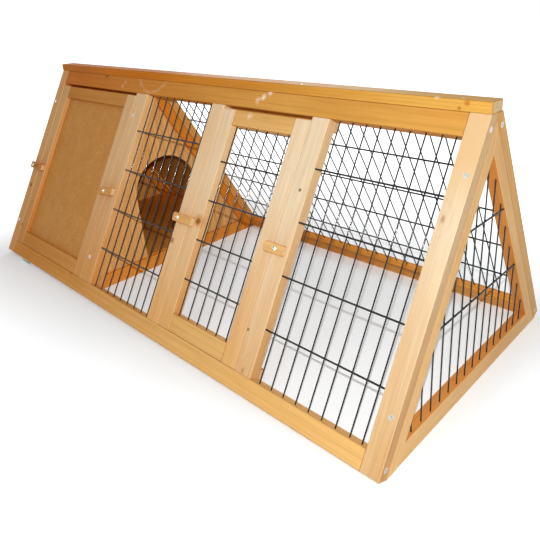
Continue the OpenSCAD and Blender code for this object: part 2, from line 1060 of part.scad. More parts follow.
// One upright board, counted from the front
module plank(index) {
    edge = base_width / 2;
    front = index == 1 ? -edge : (index - 1 - plank_count / 2) * plank_w;
    rear = index == plank_count ? edge : (index - plank_count / 2) * plank_w;
    color("tan")
        on_partition()
            difference() {
                intersection() {
                    triangle_filling(partition_member_w, tongue, plank_t);
                    translate([front, 0, -triangle_t])
                        cube([rear - front, ridge_top, triangle_t]);
                }
                pop_hole();
            }
}

module partition_groove() {
    triangle_filling(partition_member_w, tongue + groove_end, plank_t + 2 * groove_fit);
}

module partition_front_member() {
    color("peru")
        difference() {
            on_partition()
                difference() {
                    sloping_member(partition_member_w);
                    triangle_bores(partition_member_w);
                    partition_groove();
                }
            on_front()
                at_panel_screws(partition_left, partition_right)
                    screw_hole(panel_screw_l, screw_d);
        }
}

module partition_rear_member() {
    color("peru")
        difference() {
            on_partition()
                difference() {
                    mirror([1, 0, 0])
                        sloping_member(partition_member_w);
                    triangle_bores(partition_member_w);
                    partition_groove();
                }
            on_rear()
                at_panel_screws(partition_left, partition_right)
                    screw_hole(panel_screw_l, screw_d);
        }
}

module partition_bottom_rail() {
    color("chocolate")
        difference() {
            on_partition()
                difference() {
                    triangle_rail(partition_member_w);
                    triangle_bores(partition_member_w);
                    partition_groove();
                }
            at_right_cleat_screws()
                screw_hole(small_screw_l, small_screw_d);
        }
}

module partition_board_1() { plank(1); }
module partition_board_2() { plank(2); }
module partition_board_3() { plank(3); }
module partition_board_4() { plank(4); }
module partition_board_5() { plank(5); }

// ---- floor of the sleeping compartment ----

floor_left = -run_length / 2 + triangle_t;
floor_right = -run_length / 2 + partition_left;

module floor_board() {
    front = -face_y(floor_top, panel_t + stop_t) + seat_gap;
    rear = face_y(floor_top, panel_t) - seat_gap;
    color("saddlebrown")
        translate([floor_left + seat_gap, front, floor_underside])
            cube([floor_right - floor_left - 2 * seat_gap, rear - front, floor_t]);
}

module at_left_cleat_screws() {
    for (y = [-cleat_screw_y, cleat_screw_y])
        translate([floor_left + cleat, y, floor_underside - cleat / 2])
            rotate([0, 90, 0])
                children();
}

module at_right_cleat_screws() {
    for (y = [-cleat_screw_y, cleat_screw_y])
        translate([floor_right - cleat, y, floor_underside - cleat / 2])
            rotate([0, -90, 0])
                children();
}

module floor_cleats() {
    color("peru")
        difference() {
            for (x = [floor_left, floor_right - cleat])
                translate([x, -cleat_half, floor_underside - cleat])
                    cube([cleat, 2 * cleat_half, cleat]);
            at_left_cleat_screws()
                screw_hole(small_screw_l, small_screw_d);
            at_right_cleat_screws()
                screw_hole(small_screw_l, small_screw_d);
        }
}

// ---- ridge cap ----

nail_y = -ridge_half / 2;
cap_right = run_length - cap_left;

// Nails of the two cap pieces, driven down from the cap's top
module at_cap_nails() {
    for (u = [nail_inset, cap_left - nail_inset])
        translate([u - run_length / 2, nail_y, ridge_top + cap_h])
            children();
    for (i = [0 : nail_count - 1])
        translate([cap_left + nail_inset + i * (cap_right - 2 * nail_inset) / (nail_count - 1)
                   - run_length / 2, nail_y, ridge_top + cap_h])
            children();
}

module nail(grow) {
    translate([0, 0, -nail_l - grow])
        cylinder(h = nail_l + grow, d = nail_d + 2 * grow);
    translate([0, 0, -nail_head_h])
        cylinder(h = nail_head_h, d = 2 * nail_d + 2 * grow);
}

// The same nails' holes, in the front panel's own frame of reference
module nail_holes() {
    rotate([-panel_angle, 0, 0])
        translate([run_length / 2, base_width / 2, -panel_foot])
            at_cap_nails()
                nail(screw_fit);
}

module cap_piece(from, length) {
    color("darkorange")
        difference() {
            translate([from - run_length / 2, -ridge_half, ridge_top])
                cube([length, cap_w, cap_h]);
            at_cap_nails()
                nail(screw_fit);
        }
}

module ridge_cap_left() { cap_piece(0, cap_left); }
module ridge_cap_right() { cap_piece(cap_left, cap_right); }

module cap_nails() {
    color("silver")
        at_cap_nails()
            nail(0);
}

// ---- turn buttons ----

module at_button(button) {
    translate([button[0], button_v + button[3], 0])
        rotate([0, 0, button[4]])
            children();
}

// Wooden block that turns on its screw, lifted clear of the door and the mullion
module turn_button(button) {
    length = button[1] + button[2];
    color("burlywood")
        on_front()
            at_button(button)
                translate([0, 0, button_lift])
                    difference() {
                        linear_extrude(button_t) {
                            translate([-button[1] + button_corner, -button_w / 2])
                                square([length - 2 * button_corner, button_w]);
                            translate([-button[1], -button_w / 2 + button_corner])
                                square([length, button_w - 2 * button_corner]);
                            for (x = [-button[1] + button_corner, button[2] - button_corner])
                                for (y = [-1, 1])
                                    translate([x, y * (button_w / 2 - button_corner)])
                                        circle(r = button_corner);
                        }
                        translate([0, 0, -button_t])
                            cylinder(h = 3 * button_t, d = screw_d + 2 * screw_fit);
                    }
}

module turn_button_1() { turn_button(button_1); }
module turn_button_2() { turn_button(button_2); }
module turn_button_3() { turn_button(button_3); }
module turn_button_4() { turn_button(button_4); }

module button_screw_hole(button) {
    at_button(button)
        translate([0, 0, -button_screw_depth - screw_fit])
            cylinder(h = button_screw_depth + button_t, d = screw_d + 2 * screw_fit);
}

// Round-headed screws that the buttons turn on
module turn_button_screws() {
    under_head = button_t + 2 * button_lift;
    color("silver")
        on_front()
            for (button = [button_1, button_2, button_3, button_4])
                at_button(button)
                    difference() {
                        union() {
                            translate([0, 0, -button_screw_depth])
                                cylinder(h = button_screw_depth + under_head, d = screw_d);
                            translate([0, 0, under_head]) {
                                cylinder(h = pan_head_rim, d = pan_head_d);
                                translate([0, 0, pan_head_rim])
                                    cylinder(h = pan_head_h - pan_head_rim,
                                             d1 = pan_head_d, d2 = pan_head_top);
                            }
                        }
                        for (turn = [0, 90])
                            rotate([0, 0, turn])
                                translate([0, 0, under_head + pan_head_h])
                                    cube([pan_head_top, recess_w, pan_head_h], center = true);
                    }
}

// ---- screws ----

module panel_screws() {
    color("silver") {
        on_front()
            at_panel_screws(0, run_length)
                wood_screw(panel_screw_l, screw_d);
        on_rear()
            at_panel_screws(0, run_length)
                wood_screw(panel_screw_l, screw_d);
    }
}

module triangle_screws(member_w) {
    at_foot_screws()
        wood_screw(frame_screw_l, screw_d);
    at_apex_screw(member_w)
        wood_screw(apex_screw_l, screw_d);
}

module frame_screws() {
    color("silver") {
        on_front() {
            at_corner_screws()
                wood_screw(frame_screw_l, screw_d);
            for (u = front_mullion_middles)
                at_mullion_screws(u)
                    wood_screw(frame_screw_l, screw_d);
        }
        on_rear() {
            at_corner_screws()
                wood_screw(frame_screw_l, screw_d);
            at_mullion_screws(rear_mullion_right - rear_mullion_w / 2)
                wood_screw(frame_screw_l, screw_d);
        }
        on_left_end()
            triangle_screws(end_member_w);
        on_right_end()
            triangle_screws(end_member_w);
        on_partition()
            triangle_screws(partition_member_w);
    }
}

module stop_and_cleat_screws() {
    color("silver") {
        on_front()
            for (opening = [[opening_1, mullion_1], [opening_2, mullion_3]])
                at_stop_screws(opening)
                    wood_screw(small_screw_l, small_screw_d);
        at_left_cleat_screws()
            wood_screw(small_screw_l, small_screw_d);
        at_right_cleat_screws()
            wood_screw(small_screw_l, small_screw_d);
    }
}

// ---- ground clips ----

// Bent steel strip under a bottom rail's square-cut foot, with a lip down to the lawn
module ground_clip() {
    on_front()
        translate([clip_u - clip_w / 2, -clip_t, -2 * clip_inset - clip_flange])
            cube([clip_w, clip_t, clip_flange]);
    translate([clip_u - clip_w / 2 - run_length / 2, clip_inset - base_width / 2, clip_lip_bottom])
        cube([clip_w, clip_t, clip_lip_top - clip_lip_bottom]);
}

module ground_clips() {
    color("slategray") {
        ground_clip();
        mirror([0, 1, 0])
            ground_clip();
    }
}

front_left_stile();
front_right_stile();
front_top_rail();
front_bottom_rail();
front_mullion_1();
front_mullion_2();
front_mullion_3();
front_mesh_left();
front_mesh_right();
door_1_left_stile();
door_1_right_stile();
door_1_top_rail();
door_1_bottom_rail();
door_1_panel();
door_1_screws();
door_2_left_stile();
door_2_right_stile();
door_2_top_rail();
door_2_bottom_rail();
door_2_mesh();
door_2_screws();
door_stops();
rear_left_stile();
rear_right_stile();
rear_top_rail();
rear_bottom_rail();
rear_mullion();
rear_panel();
rear_mesh();
left_end_front_member();
left_end_rear_member();
left_end_bottom_rail();
left_end_panel();
right_end_front_member();
right_end_rear_member();
right_end_bottom_rail();
right_end_mesh();
partition_front_member();
partition_rear_member();
partition_bottom_rail();
partition_board_1();
partition_board_2();
partition_board_3();
partition_board_4();
partition_board_5();
floor_board();
floor_cleats();
ridge_cap_left();
ridge_cap_right();
turn_button_1();
turn_button_2();
turn_button_3();
turn_button_4();
turn_button_screws();
panel_screws();
frame_screws();
stop_and_cleat_screws();
cap_nails();
ground_clips();
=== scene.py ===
"""Outdoor rabbit run: the looks of its timber, hardboard, welded wire and screws.

Metres, in the part's own frame: X along the ridge, the doors face -Y, Z is up.
"""

import json
import math
import random

import bmesh
import bpy
from mathutils import Matrix, Vector

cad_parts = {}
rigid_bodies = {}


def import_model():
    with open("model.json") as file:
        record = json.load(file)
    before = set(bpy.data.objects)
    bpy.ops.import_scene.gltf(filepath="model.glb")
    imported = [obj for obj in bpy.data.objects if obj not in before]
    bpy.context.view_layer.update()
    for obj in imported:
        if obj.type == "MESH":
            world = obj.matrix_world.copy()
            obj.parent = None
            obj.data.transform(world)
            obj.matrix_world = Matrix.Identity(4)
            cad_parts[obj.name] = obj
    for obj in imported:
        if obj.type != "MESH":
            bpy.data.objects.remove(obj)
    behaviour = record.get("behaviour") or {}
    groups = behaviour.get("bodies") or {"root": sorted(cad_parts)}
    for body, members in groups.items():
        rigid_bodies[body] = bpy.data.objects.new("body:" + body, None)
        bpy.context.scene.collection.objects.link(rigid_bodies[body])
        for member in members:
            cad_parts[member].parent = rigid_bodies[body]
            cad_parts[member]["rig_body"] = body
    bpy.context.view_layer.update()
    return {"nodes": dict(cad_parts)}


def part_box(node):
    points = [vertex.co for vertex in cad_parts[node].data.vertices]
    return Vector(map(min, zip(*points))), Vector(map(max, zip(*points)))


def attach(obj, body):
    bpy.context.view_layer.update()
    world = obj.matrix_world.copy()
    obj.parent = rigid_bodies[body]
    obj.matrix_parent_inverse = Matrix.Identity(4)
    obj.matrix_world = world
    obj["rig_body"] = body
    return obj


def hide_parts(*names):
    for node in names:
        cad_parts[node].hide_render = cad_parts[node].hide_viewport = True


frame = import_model()

# ---- Front long panel ----
# Two stiles, two rails and three mullions of 20 mm planed fir, butted and screwed at their ends.
# The edges are rounded by about a millimetre, and the honey-coloured wood shows its yearly rings.

MM = 0.001
RUN = 1185 * MM
BASE = 524 * MM
LEAN = math.radians(60)
ALONG_RUN = Vector((1, 0, 0))
UP_FRONT = Vector((0, math.cos(LEAN), math.sin(LEAN)))
OUT_FRONT = Vector((0, -math.sin(LEAN), math.cos(LEAN)))
UP_REAR = Vector((0, -math.cos(LEAN), math.sin(LEAN)))
OUT_REAR = Vector((0, math.sin(LEAN), math.cos(LEAN)))
PANEL_FOOT = 10 * MM
WAVE_PERIOD = 0.314  # of the wave texture at scale 1
GROWTH = 18  # how far the pattern is drawn out along the grain
HOLE_RIM = 5 * MM  # edges this near a screw hole's axis stay sharp


def on_front(u, v, w=0.0):
    """Point of the front panel: u along the run, v up the slope, w out of the face, in millimetres."""
    corner = Vector((-RUN / 2, -BASE / 2, PANEL_FOOT))
    return corner + (ALONG_RUN * u + UP_FRONT * v + OUT_FRONT * w) * MM


def colour(code):
    """Linear colour of an sRGB hex code."""
    parts = [int(code[i : i + 2], 16) / 255 for i in (1, 3, 5)]
    linear = [p / 12.92 if p <= 0.04045 else ((p + 0.055) / 1.055) ** 2.4 for p in parts]
    return (*linear, 1.0)


def add_node(tree, kind, inputs=None, **settings):
    """Adds a node, sets it, and fills its inputs with values or links them to other nodes' outputs."""
    made = tree.nodes.new(kind)
    for name, value in settings.items():
        setattr(made, name, value)
    for socket, value in (inputs or {}).items():
        if isinstance(value, bpy.types.NodeSocket):
            tree.links.new(value, made.inputs[socket])
        else:
            made.inputs[socket].default_value = value
    return made


def new_material(name):
    """A material, its node tree and its surface."""
    material = bpy.data.materials.new(name)
    material.use_nodes = True
    return material, material.node_tree, material.node_tree.nodes["Principled BSDF"]


def stained_fir(name, early, late, blotch, figure=0.28, ring_gap=4.5 * MM, gloss=0.42,
               closed_end_shade=(0.84, 0.55, 0.20), reach=(0.25, -0.5), foot=(1, 1, 1),
               side_shade_tint=(0.90, 0.72, 0.52), arris_tint_and_highlight=("#96551C", 0.45), scuffs=(), spots_and_shade=()):
    """Planed fir with a satin stain. The rings are those of a log, cut where the board lies in it."""
    material, tree, surface = new_material(name)
    grain, knot = [
        add_node(tree, "ShaderNodeAttribute", attribute_name=kept).outputs["Vector"]
        for kept in ("grain", "knot")
    ]
    tone, end_grain, rounded, painted_foot_shade, painted_shade_side = [
        add_node(tree, "ShaderNodeAttribute", attribute_name=kept).outputs["Fac"]
        for kept in ("tone", "end_grain", "rounded", "painted_foot_shade", "painted_shade_side")
    ]

    # A small branch pushes the rings around it outwards, and leaves a dark core of about 5 mm
    flat = add_node(tree, "ShaderNodeVectorMath", {0: knot, 1: (0.5, 1.0, 0.1)}, operation="MULTIPLY")
    away = add_node(tree, "ShaderNodeVectorMath", {0: flat.outputs[0]}, operation="LENGTH").outputs["Value"]
    hill = add_node(tree, "ShaderNodeMapRange", {0: away, 1: 0.0, 2: 18 * MM, 3: 1.0, 4: 0.0},
                    interpolation_type="SMOOTHERSTEP").outputs[0]
    bent = add_node(tree, "ShaderNodeVectorMath", {0: hill, 1: (0, 0, 7 * MM), 2: grain},
                    operation="MULTIPLY_ADD").outputs[0]
    # A tree grows far more slowly across than along, so the pattern is drawn out along the grain
    drawn = add_node(tree, "ShaderNodeVectorMath", {0: bent, 1: (1 / GROWTH, 1, 1)},
                     operation="MULTIPLY").outputs[0]
    rings = add_node(tree, "ShaderNodeTexWave",
                     {"Vector": drawn, "Scale": WAVE_PERIOD / ring_gap, "Distortion": 8.5, "Detail": 2.0,
                      "Detail Scale": 0.34, "Detail Roughness": 0.45},
                     wave_type="RINGS", rings_direction="X", wave_profile="SAW").outputs[1]
    late_wood = add_node(tree, "ShaderNodeValToRGB", {0: rings})
    ramp = late_wood.color_ramp
    ramp.elements[0].position, ramp.elements[0].color = 0.0, (0.35, 0.35, 0.35, 1)
    ramp.elements[1].position, ramp.elements[1].color = 1.0, (0.45, 0.45, 0.45, 1)
    ramp.elements.new(0.22).color = (0.05, 0.05, 0.05, 1)
    ramp.elements.new(0.60).color = (0.18, 0.18, 0.18, 1)
    ramp.elements.new(0.90).color = (1, 1, 1, 1)
    # Fibres, drawn about 2 mm wide so that they show from a metre away
    strands = add_node(tree, "ShaderNodeVectorMath", {0: grain, 1: (11, 430, 430)},
                       operation="MULTIPLY").outputs[0]
    fibres = add_node(tree, "ShaderNodeTexNoise",
                      {"Vector": strands, "Scale": 1.0, "Detail": 4.0, "Roughness": 0.62}).outputs[0]
    patches = add_node(tree, "ShaderNodeVectorMath", {0: grain, 1: (5, 26, 26)},
                       operation="MULTIPLY").outputs[0]
    clouds = add_node(tree, "ShaderNodeTexNoise",
                      {"Vector": patches, "Scale": 1.0, "Detail": 3.0, "Roughness": 0.55}).outputs[0]

    figure_share = add_node(tree, "ShaderNodeMath", {0: late_wood.outputs["Color"], 1: figure},
                            operation="MULTIPLY").outputs[0]
    wood = add_node(tree, "ShaderNodeMix", {0: figure_share, 6: colour(early), 7: colour(late)},
                    data_type="RGBA").outputs[2]
    soaked = add_node(tree, "ShaderNodeMapRange", {0: clouds, 1: 0.42, 2: 0.72, 3: 0.0, 4: 0.60}).outputs[0]
    wood = add_node(tree, "ShaderNodeMix", {0: soaked, 6: wood, 7: colour(blotch)},
                    data_type="RGBA").outputs[2]
    streak = add_node(tree, "ShaderNodeMapRange", {0: fibres, 1: 0.30, 2: 0.70, 3: 0.90, 4: 1.08}).outputs[0]
    wood = add_node(tree, "ShaderNodeMix", {0: 1.0, 6: wood, 7: streak},
                    data_type="RGBA", blend_type="MULTIPLY").outputs[2]
    wood = add_node(tree, "ShaderNodeMix", {0: 1.0, 6: wood, 7: tone},
                    data_type="RGBA", blend_type="MULTIPLY").outputs[2]
    # Painted shade: the wood is darker towards the closed end, where less light falls, and towards the foot
    # of the stiles, below the sheen that the upper part catches
    place = add_node(tree, "ShaderNodeTexCoord").outputs["Object"]
    axes = add_node(tree, "ShaderNodeSeparateXYZ", {0: place}).outputs
    for axis, start, end, most, tint in (
            (axes[0], *reach, 1.0, closed_end_shade), (axes[2], 0.28, 0.05, painted_foot_shade, foot)):
        painted_shade_share = add_node(tree, "ShaderNodeMapRange", {0: axis, 1: start, 2: end, 3: 0.0, 4: most}).outputs[0]
        wood = add_node(tree, "ShaderNodeMix", {0: painted_shade_share, 6: wood, 7: (*tint, 1)},
                        data_type="RGBA", blend_type="MULTIPLY").outputs[2]
    # Painted shade: the narrow sides are darker, as faces that less light reaches
    wood = add_node(tree, "ShaderNodeMix", {0: painted_shade_side, 6: wood, 7: (*side_shade_tint, 1)},
                    data_type="RGBA", blend_type="MULTIPLY").outputs[2]
    core = add_node(tree, "ShaderNodeMapRange",
                    {0: away, 1: 1.2 * MM, 2: 3.6 * MM, 3: 0.5, 4: 0.0}).outputs[0]
    wood = add_node(tree, "ShaderNodeMix", {0: core, 6: wood, 7: colour("#8A4F24")},
                    data_type="RGBA").outputs[2]
    cut_end = add_node(tree, "ShaderNodeMath", {0: end_grain, 1: 0.65}, operation="MULTIPLY").outputs[0]
    wood = add_node(tree, "ShaderNodeMix", {0: cut_end, 6: wood, 7: colour("#E2C6A0")},
                    data_type="RGBA").outputs[2]
    # The rounded edges take the arris colour. Where it is paler than the wood, as on the honey-stained fir,
    # it is a painted highlight along the edges.
    edge_colour, edge_share = arris_tint_and_highlight
    edge = add_node(tree, "ShaderNodeMath", {0: rounded, 1: edge_share}, operation="MULTIPLY").outputs[0]
    wood = add_node(tree, "ShaderNodeMix", {0: edge, 6: wood, 7: colour(edge_colour)},
                    data_type="RGBA").outputs[2]
    # Pitch spots, small dark knots, soft patches of stain and patches of painted shade, each with its size
    # and colour
    for spot, size, spot_colour in spots_and_shade:
        away_from = add_node(tree, "ShaderNodeVectorMath", {0: place, 1: spot},
                             operation="DISTANCE").outputs["Value"]
        near = add_node(tree, "ShaderNodeMapRange",
                        {0: away_from, 1: 0.4 * size, 2: size, 3: 0.8, 4: 0.0}).outputs[0]
        wood = add_node(tree, "ShaderNodeMix", {0: near, 6: wood, 7: colour(spot_colour)},
                        data_type="RGBA").outputs[2]
    # Pale rubbed marks. Each lies on a ring around its middle, or is a blot where the ring has no radius
    for spot, ring, width, share in scuffs:
        away_from = add_node(tree, "ShaderNodeVectorMath", {0: place, 1: spot},
                             operation="DISTANCE").outputs["Value"]
        off_ring = add_node(tree, "ShaderNodeMath", {0: away_from, 1: ring}, operation="SUBTRACT").outputs[0]
        off_ring = add_node(tree, "ShaderNodeMath", {0: off_ring}, operation="ABSOLUTE").outputs[0]
        near = add_node(tree, "ShaderNodeMapRange",
                        {0: off_ring, 1: 0.1 * width, 2: width, 3: share, 4: 0.0},
                        interpolation_type="SMOOTHSTEP").outputs[0]
        rub = add_node(tree, "ShaderNodeTexNoise",
                       {"Vector": place, "Scale": 110.0, "Detail": 3.0, "Roughness": 0.6,
                        "Distortion": 0.4}).outputs[0]
        worn = add_node(tree, "ShaderNodeMapRange", {0: rub, 1: 0.36, 2: 0.56, 3: 0.0, 4: 1.0}).outputs[0]
        bare = add_node(tree, "ShaderNodeMath", {0: worn, 1: near}, operation="MULTIPLY").outputs[0]
        wood = add_node(tree, "ShaderNodeMix", {0: bare, 6: wood, 7: colour("#F6E3CB")},
                        data_type="RGBA").outputs[2]

    relief = add_node(tree, "ShaderNodeMath", {0: late_wood.outputs["Color"], 1: fibres},
                      operation="ADD").outputs[0]
    bump = add_node(tree, "ShaderNodeBump", {"Strength": 0.35, "Distance": 0.25 * MM, "Height": relief})
    sheen = add_node(tree, "ShaderNodeMapRange",
                     {0: fibres, 1: 0.3, 2: 0.7, 3: gloss - 0.05, 4: gloss + 0.10})
    tree.links.new(wood, surface.inputs["Base Color"])
    tree.links.new(sheen.outputs[0], surface.inputs["Roughness"])
    tree.links.new(bump.outputs[0], surface.inputs["Normal"])
    surface.inputs["Specular IOR Level"].default_value = 0.06
    return material


def fit_timber(node, finish, along, across, knot=None, tone=1.0, foot=1.0, side=None, hole=None,
               ease=0.9 * MM, shortest=7 * MM):
    """Stands a sanded board in a CAD board's place, with each point's place in the log it was cut from.

    The narrow sides face along side, or across where it isn't given. The rim of a screw's hole stays sharp.
    """
    solid = frame["nodes"][node]
    board = bmesh.new()
    board.from_mesh(solid.data)
    bmesh.ops.remove_doubles(board, verts=board.verts, dist=0.005 * MM)
    bmesh.ops.dissolve_limit(board, angle_limit=math.radians(0.4), verts=board.verts, edges=board.edges)
    rounded = board.faces.layers.float.new("rounded")
    end_grain = board.faces.layers.float.new("end_grain")
    painted_shade_side = board.faces.layers.float.new("painted_shade_side")
    side = side or across
    for face in board.faces:
        face[painted_shade_side] = 1.0 if abs(face.normal.dot(side)) > 0.7 else 0.0
        face[end_grain] = 1.0 if abs(face.normal.dot(along)) > 0.7 else 0.0
    corners = [
        e for e in board.edges
        if len(e.link_faces) == 2 and e.is_convex and e.calc_length() > shortest
        and e.calc_face_angle() > math.radians(20)
        and not (hole and ((e.verts[0].co + e.verts[1].co) / 2 - hole).cross(OUT_FRONT).length < HOLE_RIM)
    ]
    made = bmesh.ops.bevel(board, geom=corners, offset=ease, offset_type="OFFSET", segments=2, profile=0.5,
                           affect="EDGES", clamp_overlap=not hole, material=-1)
    for face in made["faces"]:
        face[rounded] = 1.0
        face[painted_shade_side] = face[end_grain] = 0.0
    depth = along.cross(across)
    turn = Matrix((along, across, depth))
    low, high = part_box(node)
    middle = (low + high) / 2
    chance = random.Random(node)
    pith = Vector((chance.uniform(-2, 2), chance.uniform(-28, 28) * MM, chance.uniform(22, 70) * MM))
    grain_place = board.verts.layers.float_vector.new("grain")
    knot_place = board.verts.layers.float_vector.new("knot")
    tone_of = board.verts.layers.float.new("tone")
    painted_foot_shade = board.verts.layers.float.new("painted_foot_shade")
    far = Vector((9, 9, 9))
    for vert in board.verts:
        vert[grain_place] = turn @ (vert.co - middle) + pith
        vert[knot_place] = turn @ (vert.co - knot) if knot else far
        vert[tone_of] = tone
        vert[painted_foot_shade] = foot
    mesh = bpy.data.meshes.new(node + "_timber")
    board.to_mesh(mesh)
    board.free()
    mesh.materials.append(finish)
    piece = bpy.data.objects.new(node + "_timber", mesh)
    bpy.context.scene.collection.objects.link(piece)
    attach(piece, solid["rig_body"])
    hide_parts(node)


PITCH = "#4A3A1C"
# Each spot has its place, its size and its colour. The large ones are soft patches of stain, but the widest,
# at the top of the right stile, is painted shade
STILE_SPOTS_AND_SHADE = [
    (on_front(15.6, 178.6), 7 * MM, PITCH),
    (on_front(32.9, 74.7), 4.5 * MM, PITCH),
    (on_front(913, 337), 4 * MM, PITCH),
    (on_front(895, 100), 3.5 * MM, PITCH),
    (on_front(700, 237), 16 * MM, "#CC8E46"),
    (on_front(699, 236), 8 * MM, "#7E4718"),
    (on_front(641, 186), 8 * MM, "#A86C30"),
    # Painted shade: a wide darker patch at the top of the right stile, where the lamp is nearest
    (on_front(1172, 470), 110 * MM, "#D8B07C"),
]
DOOR_RAIL_SPOTS = [(on_front(738, 456), 5 * MM, "#6E5526"), (on_front(755, 454), 5 * MM, "#6E5526")]
# Each scuff has its middle, the radius of its ring, its width and how strong it is
DOOR_RAIL_SCUFFS = [(on_front(750, 441), 0.0, 10 * MM, 0.6)]
TOP_RAIL_SCUFFS = [
    (on_front(421, 523), 61 * MM, 5 * MM, 0.2),
    (on_front(308, 468), 0.0, 7 * MM, 0.5),
    (on_front(316, 477), 0.0, 6 * MM, 0.4),
    (on_front(758, 471), 0.0, 9 * MM, 0.8),
    (on_front(769, 479), 0.0, 9 * MM, 1.0),
    (on_front(783, 488), 0.0, 9 * MM, 0.8),
]
# In these finishes, the tints towards the closed end, towards the stiles' foot and on the narrow sides are
# painted shade. A pale arris colour is a painted highlight.
pale_fir = stained_fir("fir_planed_honey_stain", "#EED6B2", "#D4A876", "#E4BC8E", figure=0.22,
                       ring_gap=6 * MM, closed_end_shade=(0.92, 0.66, 0.38), foot=(0.90, 0.66, 0.38),
                       side_shade_tint=(0.97, 0.86, 0.72), arris_tint_and_highlight=("#F2D3A2", 0.30), spots_and_shade=STILE_SPOTS_AND_SHADE)
golden_fir = stained_fir("fir_planed_golden_stain", "#E1B26E", "#BE8844", "#D19C54",
                         side_shade_tint=(1.0, 0.94, 0.92), scuffs=DOOR_RAIL_SCUFFS, spots_and_shade=DOOR_RAIL_SPOTS)
scuffed_fir = stained_fir("fir_planed_golden_stain_scuffed", "#D69D4D", "#B27629", "#C48838",
                          closed_end_shade=(0.88, 0.50, 0.11), scuffs=TOP_RAIL_SCUFFS,
                          spots_and_shade=[(on_front(229, 487), 6 * MM, PITCH)])
fit_timber("front_left_stile", pale_fir, UP_FRONT, ALONG_RUN, tone=0.92, foot=0.66)
# The right stile's lower tone is painted shade, offsetting the lamp's nearness to it
fit_timber("front_right_stile", pale_fir, UP_FRONT, ALONG_RUN, knot=on_front(1162.5, 345.6),
           tone=0.83, foot=0.75)
fit_timber("front_mullion_1", pale_fir, UP_FRONT, ALONG_RUN, tone=0.98)
fit_timber("front_mullion_2", pale_fir, UP_FRONT, ALONG_RUN, knot=on_front(646, 185))
fit_timber("front_mullion_3", pale_fir, UP_FRONT, ALONG_RUN, knot=on_front(909, 37), tone=0.92, foot=0.72)
fit_timber("front_top_rail", scuffed_fir, ALONG_RUN, UP_FRONT)
fit_timber("front_bottom_rail", golden_fir, ALONG_RUN, UP_FRONT, knot=on_front(332, 30), tone=1.04)

# ---- Doors ----
# Each door is a frame of four 19.6 mm fir boards, screwed through the stiles into the rails.
# The rails are darker than the stiles.

fit_timber("door_1_left_stile", pale_fir, UP_FRONT, ALONG_RUN, tone=0.90)
fit_timber("door_1_right_stile", pale_fir, UP_FRONT, ALONG_RUN, tone=0.95)
fit_timber("door_1_top_rail", golden_fir, ALONG_RUN, UP_FRONT, tone=0.92)
fit_timber("door_1_bottom_rail", golden_fir, ALONG_RUN, UP_FRONT, tone=0.96)
fit_timber("door_2_left_stile", pale_fir, UP_FRONT, ALONG_RUN, knot=on_front(699, 236), tone=0.98)
fit_timber("door_2_right_stile", pale_fir, UP_FRONT, ALONG_RUN, tone=0.96)
fit_timber("door_2_top_rail", golden_fir, ALONG_RUN, UP_FRONT, tone=1.02)
fit_timber("door_2_bottom_rail", golden_fir, ALONG_RUN, UP_FRONT)

# ---- Door stops ----
# Battens screwed behind the top and bottom of each door opening, which the door leans on.
# They have the orange-brown of the run's inside.

inner_fir = stained_fir("fir_sawn_orange_brown_stain", "#E4A24E", "#B06C28", "#CB8238", figure=0.5, gloss=0.5,
                        side_shade_tint=(0.94, 0.84, 0.70))
fit_timber("door_stops", inner_fir, ALONG_RUN, UP_FRONT)

# ---- Rear long panel ----
# The same frame of 20 mm fir boards, seen from inside, with one mullion over the partition.

for part in ("left_stile", "right_stile", "mullion"):
    fit_timber("rear_" + part, golden_fir, UP_REAR, ALONG_RUN)
for part in ("top_rail", "bottom_rail"):
    fit_timber("rear_" + part, inner_fir, ALONG_RUN, UP_REAR)

# ---- Triangular frames ----
# Two sloping members meet in a mitre at the ridge, and a bottom rail is screwed between their feet.
# There is one frame at each end of the run and one at the partition.

DEPTHWAYS = Vector((0, 1, 0))
UPRIGHT = Vector((0, 0, 1))
amber_fir = stained_fir("fir_planed_amber_stain", "#EEC083", "#CC914C", "#DEA665", figure=0.25,
                        ring_gap=6 * MM, side_shade_tint=(0.74, 0.48, 0.25), arris_tint_and_highlight=("#D9A066", 0.30))
plank_fir = stained_fir("fir_board_tan_stain", "#EEC48C", "#B88148", "#DEAC6C", figure=0.45, gloss=0.5,
                        spots_and_shade=[(Vector((-0.1965, -0.2170, 0.0320)), 9 * MM, "#3A2008")])
deep_fir = stained_fir("fir_sawn_deep_orange_stain", "#E89A38", "#B4661C", "#CF7C28", figure=0.5, gloss=0.5)
for frame_name, front, rear, rail, rail_tone in (
        ("left_end", inner_fir, inner_fir, inner_fir, 1.0),
        ("partition", plank_fir, deep_fir, inner_fir, 1.12),
        ("right_end", amber_fir, amber_fir, amber_fir, 1.0)):
    fit_timber(frame_name + "_front_member", front, UP_FRONT, ALONG_RUN, side=OUT_FRONT)
    fit_timber(frame_name + "_rear_member", rear, UP_REAR, ALONG_RUN, side=OUT_REAR)
    fit_timber(frame_name + "_bottom_rail", rail, DEPTHWAYS, ALONG_RUN, side=UPRIGHT, tone=rail_tone)

# ---- Partition boards ----
# Five upright fir boards, 9 mm thick, let into the partition's frame. The pop hole is sawn through
# the middle three, and its edge is sanded.

for number in range(1, 6):
    fit_timber(f"partition_board_{number}", plank_fir, UPRIGHT, DEPTHWAYS, ease=0.8 * MM)

# ---- Floor of the sleeping compartment ----
# One board in the orange-brown stain lies on two cleats that are screwed to the frames' bottom rails.

floor_fir = stained_fir("fir_board_orange_brown_stain", "#E8A65A", "#B87838", "#CC8844", gloss=0.55)
fit_timber("floor_board", floor_fir, ALONG_RUN, DEPTHWAYS)
fit_timber("floor_cleats", inner_fir, DEPTHWAYS, ALONG_RUN)

# ---- Ridge cap ----
# A batten in two lengths is nailed along the ridge, over the mitred top rails.

